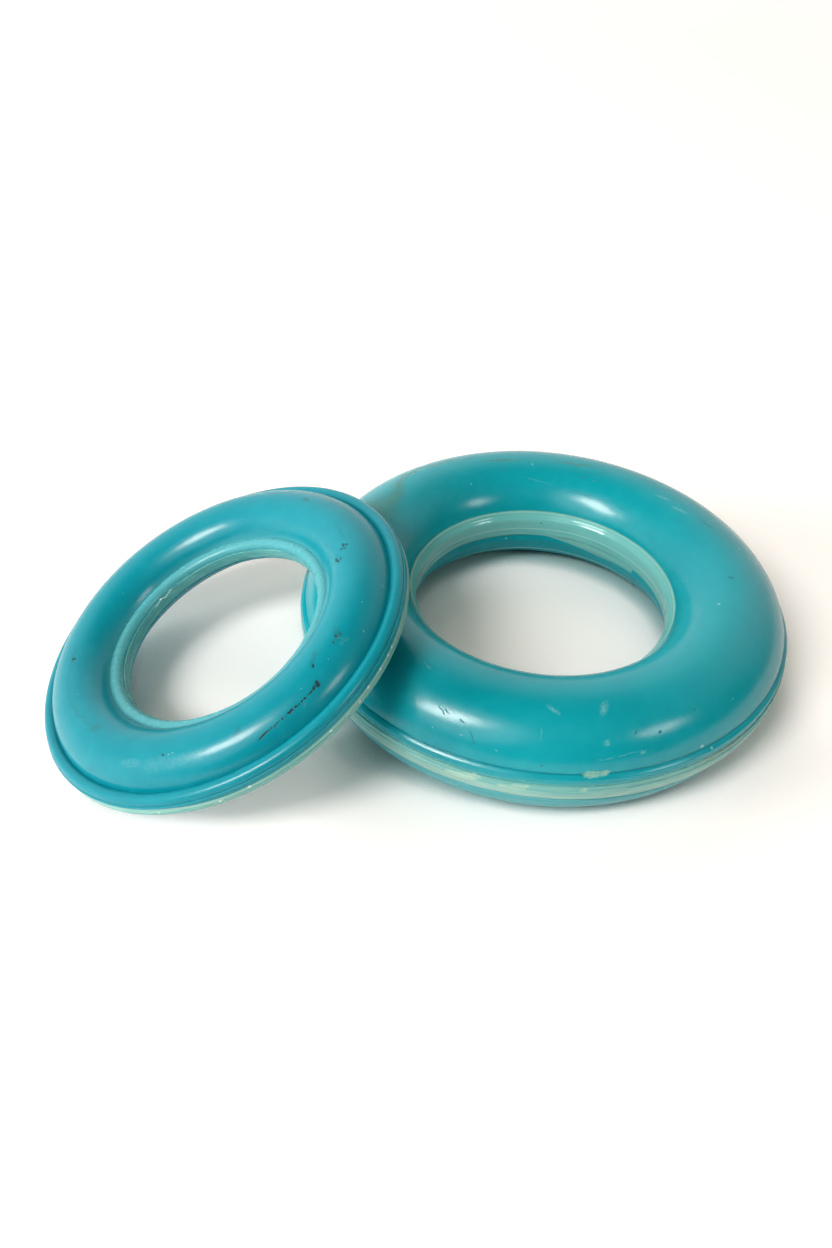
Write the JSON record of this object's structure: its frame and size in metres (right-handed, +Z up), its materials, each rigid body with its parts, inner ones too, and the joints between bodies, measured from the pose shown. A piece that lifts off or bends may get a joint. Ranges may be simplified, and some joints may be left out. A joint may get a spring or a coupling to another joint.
{
  "type": "hand grip strengthener",
  "caption": "Large and small moulded rubber grip rings with trimmed seam bands, squeezed in the hand to strengthen the grip.",
  "frame": {"origin": "centre of the large ring's hole, halfway up the ring", "axes": "+Z up along the large ring's axis; the small ring leans on its flank on the -X, -Y side"},
  "size_m": [0.1225, 0.101, 0.0317],
  "materials": {
    "teal_rubber": "satin",
    "pale_rubber": "satin"
  },
  "bodies": {
    "large_ring": {"large_core": "pale_rubber", "large_upper_cover": "teal_rubber", "large_lower_cover": "teal_rubber"},
    "small_ring": {"small_core": "pale_rubber", "small_upper_cover": "teal_rubber", "small_lower_cover": "teal_rubber"}
  },
  "joints": [
    {"name": "small_ring_lift", "type": "slide", "parent": "large_ring", "child": "small_ring", "axis": [0, 0, 1], "range_m": [0, 0.06]}
  ]
}
